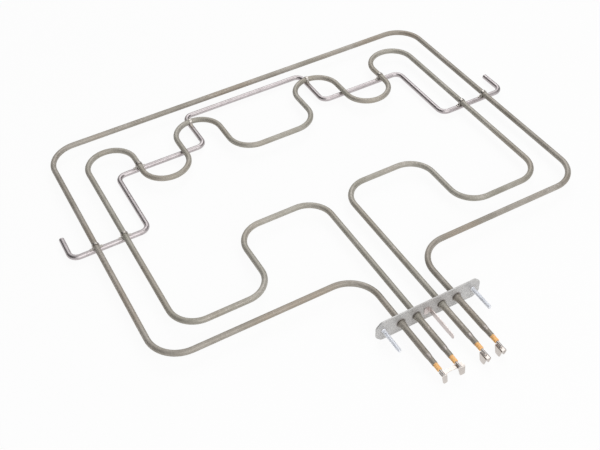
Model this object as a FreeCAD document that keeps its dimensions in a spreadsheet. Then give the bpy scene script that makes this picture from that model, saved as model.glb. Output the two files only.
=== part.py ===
# Oven grill element: two bent heater tubes on one flange plate, clipped to a carrying wire.
# Millimetres. The origin is the middle of the flange's seat face, +Y runs into the oven, +Z is up,
# and the middle plane of both heater tubes is z = 0. Left is -X, seen from the terminals.
import FreeCAD, Part
import math
import os
import Sketcher

Vector = FreeCAD.Vector
DOCUMENT = FreeCAD.newDocument("grill_element")

# Sides of the section drawn for the long bent tubes and the wire. The flats touch the true circle,
# and twelve of them keep the many bends light.
SECTION_SIDES = 12
FULL_TURN = 360.0
SKETCH_ORIGIN = (-1, 1)

SIZES = (
    ("tube_diameter", 6.5),
    ("outer_leg_x", 32.5),
    ("outer_near_y", 73.0),
    ("outer_far_y", 426.0),
    ("outer_half_width", 253.5),
    ("outer_bend_radius", 33.8),
    ("inner_leg_x", 14.6),
    ("inner_near_gap", 27.7),
    ("inner_side_gap", 32.6),
    ("inner_far_gap", 33.0),
    ("inner_bend_radius", 28.8),
    ("loop_side_x", 117.5),
    ("loop_depth", 92.0),
    ("wave_first_x", 53.5),
    ("wave_depth", 82.2),
    ("collar_seat_diameter", 7.8),
    ("collar_diameter", 8.8),
    ("collar_rim", 1.0),
    ("collar_length", 9.0),
    ("stub_length", 57.4),
    ("swage_taper_length", 3.8),
    ("swaged_length", 7.8),
    ("swaged_diameter", 5.6),
    ("pin_diameter", 3.0),
    ("pin_depth", 30.0),
    ("pin_projection", 14.8),
    ("pin_chamfer", 0.4),
    ("pin_flat", 0.3),
    ("pin_clearance", 0.05),
    ("seal_diameter", 5.0),
    ("seal_length", 7.7),
    ("sheet_thickness", 0.8),
    ("bend_outside", 1.5),
    ("terminal_gap", 1.1),
    ("spade_width", 6.1),
    ("spade_length", 10.2),
    ("spade_drop", 10.6),
    ("spade_shoulder", 1.6),
    ("spade_taper", 2.1),
    ("spade_tip_radius", 2.0),
    ("link_depth", 4.3),
    ("link_notch", 0.65),
    ("pad_reach", 1.4),
    ("outer_pad_width", 5.4),
    ("outer_pad_shift", 0.8),
    ("inner_pad_width", 7.9),
    ("inner_pad_shift", 1.9),
    ("lug_length", 8.7),
    ("lug_lean", 16.0),
    ("outer_lug_taper", 0.4),
    ("inner_lug_taper", 1.3),
    ("lug_tip_radius", 1.4),
    ("flange_length", 121.0),
    ("flange_height", 25.5),
    ("flange_thickness", 1.5),
    ("flange_corner", 6.0),
    ("flange_corner_radius", 5.0),
    ("flange_hole_clearance", 0.05),
    ("stud_spacing", 104.2),
    ("stud_diameter", 4.0),
    ("stud_length", 29.0),
    ("stud_tip", 1.0),
    ("stud_weld_diameter", 5.2),
    ("stud_weld_height", 0.7),
    ("earth_x", 0.9),
    ("earth_length", 40.5),
    ("earth_stem_height", 7.0),
    ("earth_blade_height", 6.3),
    ("earth_blade_length", 9.0),
    ("earth_tip_chamfer", 1.3),
    ("earth_foot_length", 6.9),
    ("earth_foot_height", 10.0),
    ("earth_foot_corner", 2.5),
    ("wire_diameter", 6.0),
    ("wire_bend_radius", 9.5),
    ("hook_reach", 28.1),
    ("hook_length", 34.8),
    ("wire_middle_gap", 39.7),
    ("wire_far_gap", 13.9),
    ("clip_width", 3.0),
    ("clip_thickness", 0.8),
    ("clip_clearance", 0.2),
    ("clip_foot_length", 3.6),
)

# Lengths that follow from the sizes above
TUBE_RADIUS = "Sizes.tube_diameter / 2"
PIN_RADIUS = "Sizes.pin_diameter / 2"
BORE_RADIUS = "(Sizes.pin_diameter / 2 + Sizes.pin_clearance)"
BEND_INSIDE = "(Sizes.bend_outside - Sizes.sheet_thickness)"
PAD_DEPTH = "(Sizes.link_depth + Sizes.pad_reach)"
PIN_END_Y = "(Sizes.pin_depth - Sizes.stub_length)"
TERMINAL_START = "(Sizes.stub_length + Sizes.seal_length + Sizes.terminal_gap)"
TERMINAL_Z = "(Sizes.pin_flat - Sizes.pin_diameter / 2)"
WIRE_Z = "-(Sizes.tube_diameter + Sizes.wire_diameter) / 2"
WAVE_PITCH = "(Sizes.outer_half_width - Sizes.inner_side_gap - Sizes.wave_first_x) / 3"
WAVE_X = [f"(Sizes.wave_first_x + {count} * {WAVE_PITCH})" for count in range(4)]
CREST_X = [f"({left} + {WAVE_PITCH} / 2)" for left in (WAVE_X[0], WAVE_X[2])]
CREST_Y = "(Sizes.outer_far_y - Sizes.inner_far_gap)"
TROUGH_Y = f"({CREST_Y} - Sizes.wave_depth)"
LOOP_NEAR_Y = "(Sizes.outer_near_y + Sizes.inner_near_gap)"
LOOP_FAR_Y = f"({LOOP_NEAR_Y} + Sizes.loop_depth)"
WIRE_NEAR_Y = f"({LOOP_FAR_Y} + {TROUGH_Y}) / 2"
WIRE_MIDDLE_Y = f"({TROUGH_Y} + Sizes.wire_middle_gap)"
LEGS = ("-Sizes.outer_leg_x", "-Sizes.inner_leg_x", "Sizes.inner_leg_x", "Sizes.outer_leg_x")


def make_sheet():
    """The spreadsheet that every sketch and feature takes its sizes from."""
    sheet = DOCUMENT.addObject("Spreadsheet::Sheet", "Sizes")
    for row, (alias, size) in enumerate(SIZES, 1):
        sheet.set(f"A{row}", alias)
        sheet.set(f"B{row}", str(size))
        sheet.setAlias(f"B{row}", alias)
    DOCUMENT.recompute()
    return sheet


SHEET = make_sheet()


def number(text):
    """The present value of an expression."""
    return float(SHEET.evalExpression(text))


def new_body(label, x="0", y="0", z="0", turn=0.0):
    """A body with its place bound to the sheet, turned about Z by a number of degrees."""
    body = DOCUMENT.addObject("PartDesign::Body", label)
    body.Label = label
    body.Placement = FreeCAD.Placement(Vector(), FreeCAD.Rotation(Vector(0, 0, 1), turn))
    for axis, text in zip("xyz", (x, y, z)):
        body.setExpression(f"Placement.Base.{axis}", text)
    return body


def origin_plane(body, role):
    """One of the body's own origin planes."""
    return next(plane for plane in body.Origin.OriginFeatures if plane.Role == role)


def sketch_on(body, role, **offset):
    """An empty sketch on an origin plane, moved in its own axes by the expressions in offset."""
    sketch = body.newObject("Sketcher::SketchObject", f"{body.Label}_sketch")
    sketch.AttachmentSupport = [(origin_plane(body, role), "")]
    sketch.MapMode = "FlatFace"
    for axis, text in offset.items():
        sketch.setExpression(f"AttachmentOffset.Base.{axis}", text)
    return sketch


def bind(sketch, kind, *target):
    """Add a constraint whose value is the expression given last."""
    *places, text = target
    index = sketch.addConstraint(Sketcher.Constraint(kind, *places, number(text)))
    sketch.setExpression(f"Constraints[{index}]", text)


def bind_point(sketch, edge, end, x, y):
    """Hold a point of an edge at a place measured from the sketch's origin."""
    bind(sketch, "DistanceX", *SKETCH_ORIGIN, edge, end, x)
    bind(sketch, "DistanceY", *SKETCH_ORIGIN, edge, end, y)


def arc_between(start, end, centre, turn):
    """An arc from start to end; turn is 1 for anticlockwise and -1 for clockwise."""
    first, last = (start, end) if turn > 0 else (end, start)
    angles = [math.atan2(point.y - centre.y, point.x - centre.x) for point in (first, last)]
    ring = Part.Circle(centre, Vector(0, 0, 1), (start - centre).Length)
    return Part.ArcOfCircle(ring, *angles)


def outline(sketch, corners, arcs=None):
    """A closed outline through corners bound to the sheet.

    The edge that leaves a corner is straight, or is an arc where arcs gives its centre's height and
    its turn under the corner's number.
    """
    arcs = arcs or {}
    points = [Vector(number(x), number(y), 0) for x, y in corners]
    edges = []
    for index, start in enumerate(points):
        end = points[(index + 1) % len(points)]
        if index in arcs:
            height, turn = arcs[index]
            middle = (start + end) / 2
            rise = number(height)
            side = middle.x - (rise - middle.y) * (end.y - start.y) / (end.x - start.x)
            edge = sketch.addGeometry(arc_between(start, end, Vector(side, rise, 0), turn), False)
            bind(sketch, "DistanceY", *SKETCH_ORIGIN, edge, 3, height)
            edges.append((edge, 1, 2) if turn > 0 else (edge, 2, 1))
        else:
            edges.append((sketch.addGeometry(Part.LineSegment(start, end), False), 1, 2))
    for index, (edge, first, last) in enumerate(edges):
        following, following_first, _ = edges[(index + 1) % len(edges)]
        sketch.addConstraint(Sketcher.Constraint("Coincident", edge, last, following, following_first))
        bind_point(sketch, edge, first, *corners[index])
    return sketch


def circle(sketch, x, y, radius):
    """A circle bound to the sheet."""
    ring = Part.Circle(Vector(number(x), number(y), 0), Vector(0, 0, 1), number(radius))
    edge = sketch.addGeometry(ring, False)
    bind(sketch, "Radius", edge, radius)
    bind_point(sketch, edge, 3, x, y)
    return sketch


def tube_section(sketch, x, radius):
    """The section of a bent tube or wire: a regular outline whose flats touch the circle."""
    step = FULL_TURN / SECTION_SIDES
    corner = f"{radius} / cos({step / 2} deg)"
    angles = [step * (side + 0.5) for side in range(SECTION_SIDES)]
    return outline(sketch, [(f"{x} + {corner} * cos({angle} deg)", f"{corner} * sin({angle} deg)")
                            for angle in angles])


def add_feature(body, kind, profile=None, **settings):
    """A PartDesign feature; lengths and angles given as text are bound, the rest is set as it is."""
    feature = body.newObject(f"PartDesign::{kind}", f"{body.Label}_{kind}")
    if profile is not None:
        feature.Profile = profile
    for name, setting in settings.items():
        if isinstance(setting, str) and hasattr(getattr(feature, name), "Value"):
            feature.setExpression(name, setting)
        else:
            setattr(feature, name, setting)
    DOCUMENT.recompute()
    return feature


def edges_near(feature, spots):
    """The feature's edges that pass through the given places, for a fillet or a chamfer."""
    names = []
    for spot in spots:
        vertex = Part.Vertex(*(number(text) for text in spot))
        gaps = [edge.distToShape(vertex)[0] for edge in feature.Shape.Edges]
        names.append(f"Edge{gaps.index(min(gaps)) + 1}")
    return (feature, names)


def turned(body, kind, corners, arcs=None, x="0"):
    """A round feature about an axis along Y, from corners given as radius and y."""
    sketch = outline(sketch_on(body, "XY_Plane", x=x), corners, arcs)
    return add_feature(body, kind, sketch, ReferenceAxis=(sketch, ["V_Axis"]), Angle=f"{FULL_TURN}")


def mirror_across(body, originals):
    """The body's features together with their image across its middle."""
    middle = (origin_plane(body, "YZ_Plane"), [""])
    mirror = add_feature(body, "Mirrored", Originals=originals, MirrorPlane=middle)
    body.Tip = mirror
    DOCUMENT.recompute()
    return mirror


def place(run, along):
    """The point of a straight run at a distance along it."""
    direction, offset = run
    return Vector(along, number(offset), 0) if direction == "x" else Vector(number(offset), along, 0)


def crossing(run, following):
    """The point where two straight runs at a right angle would meet."""
    return place(run, number(following[1]))


def add_route(sketch, runs, bends, end):
    """Half a tube's middle line, from the middle plane outwards.

    Args:
        sketch: an empty sketch.
        runs: straight runs in order, each its direction and its distance from the origin.
        bends: one for each pair of runs: a bend's radius, or the height that a half turn reaches.
        end: how far the last run goes.
    """
    here = place(runs[0], 0.0)
    lines = []
    arcs = []
    for index, bend in enumerate(bends):
        run, following = runs[index:index + 2]
        if run[0] == following[0]:
            radius = (number(following[1]) - number(run[1])) / 2
            way = 1 if number(bend) > here.y else -1
            centre = Vector(number(run[1]) + radius, number(bend) - way * radius, 0)
            start, stop = centre - Vector(radius, 0, 0), centre + Vector(radius, 0, 0)
            turn = -way
        else:
            corner = crossing(run, following)
            after = runs[index + 2] if index + 2 < len(runs) else None
            if after is None:
                goal = place(following, number(end))
            elif after[0] == following[0]:
                goal = place(following, number(bends[index + 1]))
            else:
                goal = crossing(following, after)
            inward, outward = (corner - here).normalize(), (goal - corner).normalize()
            start, stop = corner - inward * number(bend), corner + outward * number(bend)
            centre = start + outward * number(bend)
            turn = 1 if inward.cross(outward).z > 0 else -1
        lines.append(sketch.addGeometry(Part.LineSegment(here, start), False))
        arcs.append((sketch.addGeometry(arc_between(start, stop, centre, turn), False), turn))
        if run[0] == following[0]:
            middle = f"{bend} - {way} * ({following[1]} - {run[1]}) / 2"
            bind(sketch, "DistanceY", *SKETCH_ORIGIN, arcs[-1][0], 3, middle)
        else:
            bind(sketch, "Radius", arcs[-1][0], bend)
        here = stop
    lines.append(sketch.addGeometry(Part.LineSegment(here, place(runs[-1], number(end))), False))
    for (arc, turn), line, following in zip(arcs, lines, lines[1:]):
        first, last = (1, 2) if turn > 0 else (2, 1)
        sketch.addConstraint(Sketcher.Constraint("Tangent", line, 2, arc, first))
        sketch.addConstraint(Sketcher.Constraint("Tangent", arc, last, following, 1))
    across = {"x": ("Horizontal", "DistanceY"), "y": ("Vertical", "DistanceX")}
    for line, (direction, offset) in zip(lines, runs):
        level, distance = across[direction]
        sketch.addConstraint(Sketcher.Constraint(level, line))
        bind(sketch, distance, *SKETCH_ORIGIN, line, 1, offset)
    bind(sketch, "DistanceX", *SKETCH_ORIGIN, lines[0], 1, "0")
    bind(sketch, "DistanceY", *SKETCH_ORIGIN, lines[-1], 2, end)
    return sketch


def bent_tube(body, radius, runs, bends, end):
    """Half a bent tube or wire, swept outwards from the middle plane."""
    route = add_route(sketch_on(body, "XY_Plane"), runs, bends, end)
    section = tube_section(sketch_on(body, "YZ_Plane"), runs[0][1], radius)
    DOCUMENT.recompute()
    return add_feature(body, "AdditivePipe", section, Spine=(route, []))


def heater_tube(label, leg_x, runs, bends):
    """A sheathed heater: its bent loop, and two round ends that pass through the flange."""
    body = new_body(label)
    loop = bent_tube(body, TUBE_RADIUS, runs + [("y", leg_x)], bends, "Sizes.flange_thickness")
    swage_end = "(Sizes.swaged_length - Sizes.stub_length)"
    stub = turned(body, "Revolution", (
        ("0", "Sizes.flange_thickness"),
        (TUBE_RADIUS, "Sizes.flange_thickness"),
        (TUBE_RADIUS, "0"),
        ("Sizes.collar_seat_diameter / 2", "0"),
        ("Sizes.collar_diameter / 2", "-Sizes.collar_rim"),
        (TUBE_RADIUS, "-Sizes.collar_length"),
        (TUBE_RADIUS, f"{swage_end} + Sizes.swage_taper_length"),
        ("Sizes.swaged_diameter / 2", swage_end),
        ("Sizes.swaged_diameter / 2", "-Sizes.stub_length"),
        ("0", "-Sizes.stub_length"),
    ), arcs={4: ("-Sizes.collar_length", 1)}, x=leg_x)
    bore = turned(body, "Groove", (
        ("0", PIN_END_Y),
        (BORE_RADIUS, PIN_END_Y),
        (BORE_RADIUS, "-Sizes.stub_length"),
        ("0", "-Sizes.stub_length"),
    ), x=leg_x)
    mirror_across(body, [loop, stub, bore])
    return body


def outer_heater():
    """The rectangular outer heater."""
    runs = [("x", "Sizes.outer_far_y"), ("y", "Sizes.outer_half_width"), ("x", "Sizes.outer_near_y")]
    return heater_tube("outer_heater_tube", "Sizes.outer_leg_x", runs, ["Sizes.outer_bend_radius"] * 3)


def inner_heater():
    """The waved inner heater."""
    runs = [("x", TROUGH_Y)]
    runs += [("y", wave) for wave in WAVE_X]
    runs += [("x", LOOP_NEAR_Y), ("y", "Sizes.loop_side_x"), ("x", LOOP_FAR_Y)]
    corner = "Sizes.inner_bend_radius"
    bends = [corner, CREST_Y, TROUGH_Y, CREST_Y] + [corner] * 4
    return heater_tube("inner_heater_tube", "Sizes.inner_leg_x", runs, bends)


def terminal_pin(label, x):
    """A pin from inside the heater's cold end, flattened below where its terminal is welded."""
    body = new_body(label, x, PIN_END_Y)
    length = "(Sizes.pin_depth + Sizes.pin_projection)"
    shank = add_feature(body, "Pad", circle(sketch_on(body, "XZ_Plane"), "0", "0", PIN_RADIUS), Length=length)
    rim = edges_near(shank, [("0", f"-{length}", PIN_RADIUS)])
    add_feature(body, "Chamfer", Base=rim, Size="Sizes.pin_chamfer")
    start = f"-({TERMINAL_START} + {PIN_END_Y})"
    flat = outline(sketch_on(body, "YZ_Plane"), (
        (start, TERMINAL_Z),
        (f"-{length} - Sizes.pin_diameter", TERMINAL_Z),
        (f"-{length} - Sizes.pin_diameter", "-Sizes.pin_diameter"),
        (start, "-Sizes.pin_diameter"),
    ))
    add_feature(body, "Pocket", flat, Type="ThroughAll", Midplane=True)
    return body


def end_seal(label, x):
    """The seal that closes a heater's cold end round its pin."""
    body = new_body(label, x, "-Sizes.stub_length")
    ring = circle(sketch_on(body, "XZ_Plane"), "0", "0", "Sizes.seal_diameter / 2")
    circle(ring, "0", "0", BORE_RADIUS)
    add_feature(body, "Pad", ring, Length="Sizes.seal_length")
    return body


def spade_terminal(label, x):
    """A folded saddle under a pin, with a flat blade hanging at each side."""
    body = new_body(label, x, f"-{TERMINAL_START}", TERMINAL_Z)
    edge = "Sizes.spade_width / 2"
    inside = f"({edge} - Sizes.sheet_thickness)"
    fold = outline(sketch_on(body, "XZ_Plane"), (
        (f"-{edge}", "0"),
        (f"-{edge}", "-Sizes.spade_drop"),
        (f"-{inside}", "-Sizes.spade_drop"),
        (f"-{inside}", "-Sizes.sheet_thickness"),
        (inside, "-Sizes.sheet_thickness"),
        (inside, "-Sizes.spade_drop"),
        (edge, "-Sizes.spade_drop"),
        (edge, "0"),
    ))
    saddle = add_feature(body, "Pad", fold, Length="Sizes.spade_length")
    middle = "-Sizes.spade_length / 2"
    corners = [(f"{side} * {edge}", middle, "0") for side in (-1, 1)]
    bends = add_feature(body, "Fillet", Base=edges_near(saddle, corners), Radius="Sizes.bend_outside")
    corners = [(f"{side} * {inside}", middle, "-Sizes.sheet_thickness") for side in (-1, 1)]
    add_feature(body, "Fillet", Base=edges_near(bends, corners), Radius=BEND_INSIDE)
    tapers = sketch_on(body, "YZ_Plane")
    for root, way in (("0", -1), ("-Sizes.spade_length", 1)):
        tip = f"{root} + {way} * Sizes.spade_taper"
        outside = f"{root} - {way} * Sizes.spade_taper"
        outline(tapers, (
            (root, "-Sizes.spade_shoulder"),
            (tip, "-Sizes.spade_drop"),
            (tip, "-2 * Sizes.spade_drop"),
            (outside, "-2 * Sizes.spade_drop"),
            (outside, "-Sizes.spade_shoulder"),
        ))
    cut = add_feature(body, "Pocket", tapers, Type="ThroughAll", Midplane=True)
    tips = [(f"{side} * ({edge} + {inside}) / 2", tip, "-Sizes.spade_drop")
            for side in (-1, 1) for tip in ("-Sizes.spade_taper", "Sizes.spade_taper - Sizes.spade_length")]
    add_feature(body, "Fillet", Base=edges_near(cut, tips), Radius="Sizes.spade_tip_radius")
    return body


def link_terminal(label, outer_x, inner_x):
    """A strip that joins two pins, with a lug hanging in front of each."""
    body = new_body(label, y=f"-{TERMINAL_START}", z=TERMINAL_Z)
    pads = [(f"({outer_x} + Sizes.outer_pad_shift)", "Sizes.outer_pad_width / 2", "Sizes.outer_lug_taper"),
            (f"({inner_x} + Sizes.inner_pad_shift)", "Sizes.inner_pad_width / 2", "Sizes.inner_lug_taper")]
    (outer, outer_half, _), (inner, inner_half, _) = pads
    waist = f"({outer_x} + {inner_x}) / 2"
    strip = outline(sketch_on(body, "XY_Plane"), (
        (f"{outer} - {outer_half}", "0"),
        (f"{outer} - {outer_half}", f"-{PAD_DEPTH}"),
        (f"{outer} + {outer_half}", f"-{PAD_DEPTH}"),
        (f"{outer} + {outer_half}", "-Sizes.link_depth"),
        (waist, "Sizes.link_notch - Sizes.link_depth"),
        (f"{inner} - {inner_half}", "-Sizes.link_depth"),
        (f"{inner} - {inner_half}", f"-{PAD_DEPTH}"),
        (f"{inner} + {inner_half}", f"-{PAD_DEPTH}"),
        (f"{inner} + {inner_half}", "0"),
        (f"{inner} - {inner_half}", "0"),
        (waist, "-Sizes.link_notch"),
        (f"{outer} + {outer_half}", "0"),
    ))
    feature = add_feature(body, "Pad", strip, Length="Sizes.sheet_thickness", Reversed=True)
    for middle, half, taper in pads:
        face = sketch_on(body, "XZ_Plane")
        lean = FreeCAD.Rotation(Vector(1, 0, 0), -number("Sizes.lug_lean"))
        face.AttachmentOffset = FreeCAD.Placement(Vector(), lean)
        face.setExpression("AttachmentOffset.Base.z", PAD_DEPTH)
        outline(face, (
            (f"{middle} - {half}", "0"),
            (f"{middle} - {half} + {taper}", "-Sizes.lug_length"),
            (f"{middle} + {half} - {taper}", "-Sizes.lug_length"),
            (f"{middle} + {half}", "0"),
        ))
        feature = add_feature(body, "Pad", face, Length="Sizes.sheet_thickness", Reversed=True)
    sine, cosine = "sin(Sizes.lug_lean * 1 deg)", "cos(Sizes.lug_lean * 1 deg)"
    fold_y = f"Sizes.sheet_thickness * (1 - {sine}) / {cosine} - {PAD_DEPTH}"
    folds = [(middle, f"-{PAD_DEPTH}", "0") for middle, _, _ in pads]
    feature = add_feature(body, "Fillet", Base=edges_near(feature, folds), Radius="Sizes.bend_outside")
    folds = [(middle, fold_y, "-Sizes.sheet_thickness") for middle, _, _ in pads]
    feature = add_feature(body, "Fillet", Base=edges_near(feature, folds), Radius=BEND_INSIDE)
    tip_y = f"Sizes.sheet_thickness / 2 * {cosine} - Sizes.lug_length * {sine} - {PAD_DEPTH}"
    tip_z = f"-(Sizes.lug_length * {cosine} + Sizes.sheet_thickness / 2 * {sine})"
    tips = [(f"{middle} + {side} * ({half} - {taper})", tip_y, tip_z)
            for middle, half, taper in pads for side in (-1, 1)]
    add_feature(body, "Fillet", Base=edges_near(feature, tips), Radius="Sizes.lug_tip_radius")
    return body


def flange_plate():
    """The flange with cut corners and a hole for each heater end."""
    body = new_body("flange_plate")
    side, cut_side = "Sizes.flange_length / 2", "(Sizes.flange_length / 2 - Sizes.flange_corner)"
    top, cut_top = "Sizes.flange_height / 2", "(Sizes.flange_height / 2 - Sizes.flange_corner)"
    face = outline(sketch_on(body, "XZ_Plane"), (
        (f"-{side}", f"-{cut_top}"),
        (f"-{cut_side}", f"-{top}"),
        (cut_side, f"-{top}"),
        (side, f"-{cut_top}"),
        (side, cut_top),
        (cut_side, top),
        (f"-{cut_side}", top),
        (f"-{side}", cut_top),
    ))
    for leg_x in LEGS:
        circle(face, leg_x, "0", f"{TUBE_RADIUS} + Sizes.flange_hole_clearance")
    plate = add_feature(body, "Pad", face, Length="Sizes.flange_thickness", Reversed=True)
    middle = "Sizes.flange_thickness / 2"
    corners = [(f"{x_way} * {x}", middle, f"{z_way} * {z}") for x_way in (-1, 1) for z_way in (-1, 1)
               for x, z in ((side, cut_top), (cut_side, top))]
    add_feature(body, "Fillet", Base=edges_near(plate, corners), Radius="Sizes.flange_corner_radius")
    return body


def stud(label, x):
    """A mounting stud, welded upright on the flange's face."""
    body = new_body(label, x)
    radius, weld = "Sizes.stud_diameter / 2", "Sizes.stud_weld_diameter / 2"
    turned(body, "Revolution", (
        ("0", "0"),
        (weld, "0"),
        (weld, "-Sizes.stud_weld_height"),
        (radius, "-Sizes.stud_weld_height"),
        (radius, "Sizes.stud_tip - Sizes.stud_length"),
        (f"{radius} - Sizes.stud_tip", "-Sizes.stud_length"),
        ("0", "-Sizes.stud_length"),
    ))
    return body


def earth_tab():
    """The earth tab: a flat blade on a folded foot that is welded to the flange."""
    body = new_body("earth_tab", "Sizes.earth_x")
    stem, blade = "Sizes.earth_stem_height / 2", "Sizes.earth_blade_height / 2"
    tip = f"({blade} - Sizes.earth_tip_chamfer)"
    step = "(Sizes.earth_blade_length - Sizes.earth_length)"
    tip_start = "(Sizes.earth_tip_chamfer - Sizes.earth_length)"
    side = outline(sketch_on(body, "YZ_Plane"), (
        ("0", f"-{stem}"),
        ("0", stem),
        (step, stem),
        (step, blade),
        (tip_start, blade),
        ("-Sizes.earth_length", tip),
        ("-Sizes.earth_length", f"-{tip}"),
        (tip_start, f"-{blade}"),
        (step, f"-{blade}"),
        (step, f"-{stem}"),
    ))
    add_feature(body, "Pad", side, Length="Sizes.sheet_thickness", Reversed=True)
    toe, neck, half = "-Sizes.earth_foot_length", "-1.3 * Sizes.bend_outside", "Sizes.earth_foot_height / 2"
    sole = outline(sketch_on(body, "XZ_Plane"), (
        (toe, f"-{half}"),
        (neck, f"-{half}"),
        (neck, f"-{stem}"),
        ("0", f"-{stem}"),
        ("0", stem),
        (neck, stem),
        (neck, half),
        (toe, half),
    ))
    foot = add_feature(body, "Pad", sole, Length="Sizes.sheet_thickness")
    middle = "-Sizes.sheet_thickness / 2"
    toes = [(toe, middle, f"{way} * {half}") for way in (-1, 1)]
    rounded = add_feature(body, "Fillet", Base=edges_near(foot, toes), Radius="Sizes.earth_foot_corner")
    outside = edges_near(rounded, [("0", "0", "0")])
    fold = add_feature(body, "Fillet", Base=outside, Radius="Sizes.bend_outside")
    inside = edges_near(fold, [("-Sizes.sheet_thickness", "-Sizes.sheet_thickness", "0")])
    add_feature(body, "Fillet", Base=inside, Radius=BEND_INSIDE)
    return body


def support_wire():
    """The bent wire under both heaters, with a hook at each end."""
    body = new_body("support_wire", z=WIRE_Z)
    runs = [("x", "Sizes.outer_far_y - Sizes.wire_far_gap"), ("y", CREST_X[0]), ("x", WIRE_MIDDLE_Y),
            ("y", CREST_X[1]), ("x", WIRE_NEAR_Y), ("y", "Sizes.outer_half_width + Sizes.hook_reach")]
    bends = ["Sizes.wire_bend_radius"] * (len(runs) - 1)
    half = bent_tube(body, "Sizes.wire_diameter / 2", runs, bends, f"{WIRE_NEAR_Y} + Sizes.hook_length")
    mirror_across(body, [half])
    return body


def clip(label, x, y, turn):
    """A strap over a heater tube, with its two feet welded on the wire."""
    body = new_body(label, x, y, turn=turn)
    inside = f"({TUBE_RADIUS} + Sizes.clip_clearance)"
    outside = f"({inside} + Sizes.clip_thickness)"
    toe = f"({inside} + Sizes.clip_foot_length)"
    sole, instep = f"-{TUBE_RADIUS}", f"(Sizes.clip_thickness - {TUBE_RADIUS})"
    strap = outline(sketch_on(body, "XZ_Plane"), (
        (outside, "0"),
        (f"-{outside}", "0"),
        (f"-{outside}", instep),
        (f"-{toe}", instep),
        (f"-{toe}", sole),
        (f"-{inside}", sole),
        (f"-{inside}", "0"),
        (inside, "0"),
        (inside, sole),
        (toe, sole),
        (toe, instep),
        (outside, instep),
    ), arcs={0: ("0", 1), 6: ("0", -1)})
    add_feature(body, "Pad", strap, Length="Sizes.clip_width", Midplane=True)
    return body


def clips():
    """A clip at each crossing that is strapped, on both sides."""
    crossings = (
        ("outer", "Sizes.outer_half_width", WIRE_NEAR_Y, 0.0),
        ("inner", WAVE_X[3], WIRE_NEAR_Y, 0.0),
        ("wave", WAVE_X[2], WIRE_MIDDLE_Y, 0.0),
        ("crest", CREST_X[0], CREST_Y, 90.0),
    )
    for name, x, y, turn in crossings:
        for side, sign in (("left", "-"), ("right", "")):
            clip(f"clip_{name}_{side}", sign + x, y, turn)


def terminal_side():
    """Everything on the terminal side of the flange."""
    for place_number, leg_x in enumerate(LEGS, 1):
        terminal_pin(f"terminal_pin_{place_number}", leg_x)
        end_seal(f"end_seal_{place_number}", leg_x)
    link_terminal("link_terminal", *LEGS[:2])
    for place_number, leg_x in enumerate(LEGS[2:], 3):
        spade_terminal(f"spade_terminal_{place_number}", leg_x)
    for side, sign in (("left", "-"), ("right", "")):
        stud(f"mounting_stud_{side}", f"{sign}Sizes.stud_spacing / 2")
    earth_tab()


def write_parts():
    """Check every object, then write one STEP file for each body."""
    DOCUMENT.recompute()
    for item in DOCUMENT.Objects:
        if {"Invalid", "Error"} & set(item.State):
            raise RuntimeError(f"{item.Name} did not build")
    os.makedirs("parts", exist_ok=True)
    for body in DOCUMENT.findObjects("PartDesign::Body"):
        if body.Shape.isNull() or not body.Shape.isValid() or len(body.Shape.Solids) != 1:
            raise RuntimeError(f"{body.Label} is not one sound solid")
        body.Shape.exportStep(f"parts/{body.Label}.step")


outer_heater()
inner_heater()
flange_plate()
terminal_side()
support_wire()
clips()
write_parts()
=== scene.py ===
"""Oven grill element: finished pieces, materials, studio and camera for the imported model.

Sizes in the classes are in millimetres, as on a workshop drawing, and become metres when a piece is
finished. The studio alone is in metres. +Y runs into the oven, +Z is up, and the origin is the middle
of the flange's seat face.
"""

import logging
import math
from abc import ABC, abstractmethod
from dataclasses import dataclass, field
from enum import Enum
from typing import Any, Optional, Sequence, Union

import bmesh
import bpy
from mathutils import Matrix, Vector


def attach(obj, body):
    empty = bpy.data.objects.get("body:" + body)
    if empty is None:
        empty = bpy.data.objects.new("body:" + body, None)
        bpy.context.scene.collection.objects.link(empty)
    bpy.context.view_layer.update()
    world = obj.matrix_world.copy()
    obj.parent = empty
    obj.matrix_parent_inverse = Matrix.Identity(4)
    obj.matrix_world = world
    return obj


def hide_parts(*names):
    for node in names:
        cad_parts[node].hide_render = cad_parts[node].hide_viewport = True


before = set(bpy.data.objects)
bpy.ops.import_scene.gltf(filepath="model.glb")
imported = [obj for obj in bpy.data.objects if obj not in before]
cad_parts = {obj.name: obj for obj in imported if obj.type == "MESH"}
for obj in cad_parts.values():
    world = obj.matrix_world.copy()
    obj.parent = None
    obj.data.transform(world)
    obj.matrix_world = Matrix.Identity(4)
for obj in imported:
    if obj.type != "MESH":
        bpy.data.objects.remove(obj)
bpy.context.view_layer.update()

LOG = logging.getLogger("grill_element")
MM = 0.001
INTO_OVEN = Vector((0.0, 1.0, 0.0))
UP = Vector((0.0, 0.0, 1.0))
FULL_TURN = 2.0 * math.pi
WHITE = (1.0, 1.0, 1.0)

# Edges above the first angle are shaded sharp. On sheet, those above the second are bevelled, and those
# under the third are taken out.
SHARP_ANGLE = math.radians(38.0)
BEVEL_ANGLE = math.radians(40.0)
FLAT_ANGLE = math.radians(1.0)

# What counts as no distance at all, in millimetres
TOLERANCE = 1e-3
FINE_TOLERANCE = 1e-4

# A corner is x, y and the bend's radius, and a point is two measures that its owner names
Colour = tuple[float, float, float]
Place = tuple[float, float, float]
Corner = tuple[float, float, float]
Point = tuple[float, float]


def put_in_scene(name: str, data: bpy.types.ID) -> bpy.types.Object:
    """Make an object of a mesh, a lamp or a camera.

    Args:
        name: the object's name.
        data: what it shows.

    Returns:
        The object, in the scene.
    """
    made = bpy.data.objects.new(name, data)
    bpy.context.scene.collection.objects.link(made)
    return made


# Shader building


@dataclass(frozen=True)
class Noise:
    """A smooth noise: waves per metre, layers of detail, and how strong the finer layers are."""

    scale: float
    detail: float = 3.0
    roughness: float = 0.55


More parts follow.
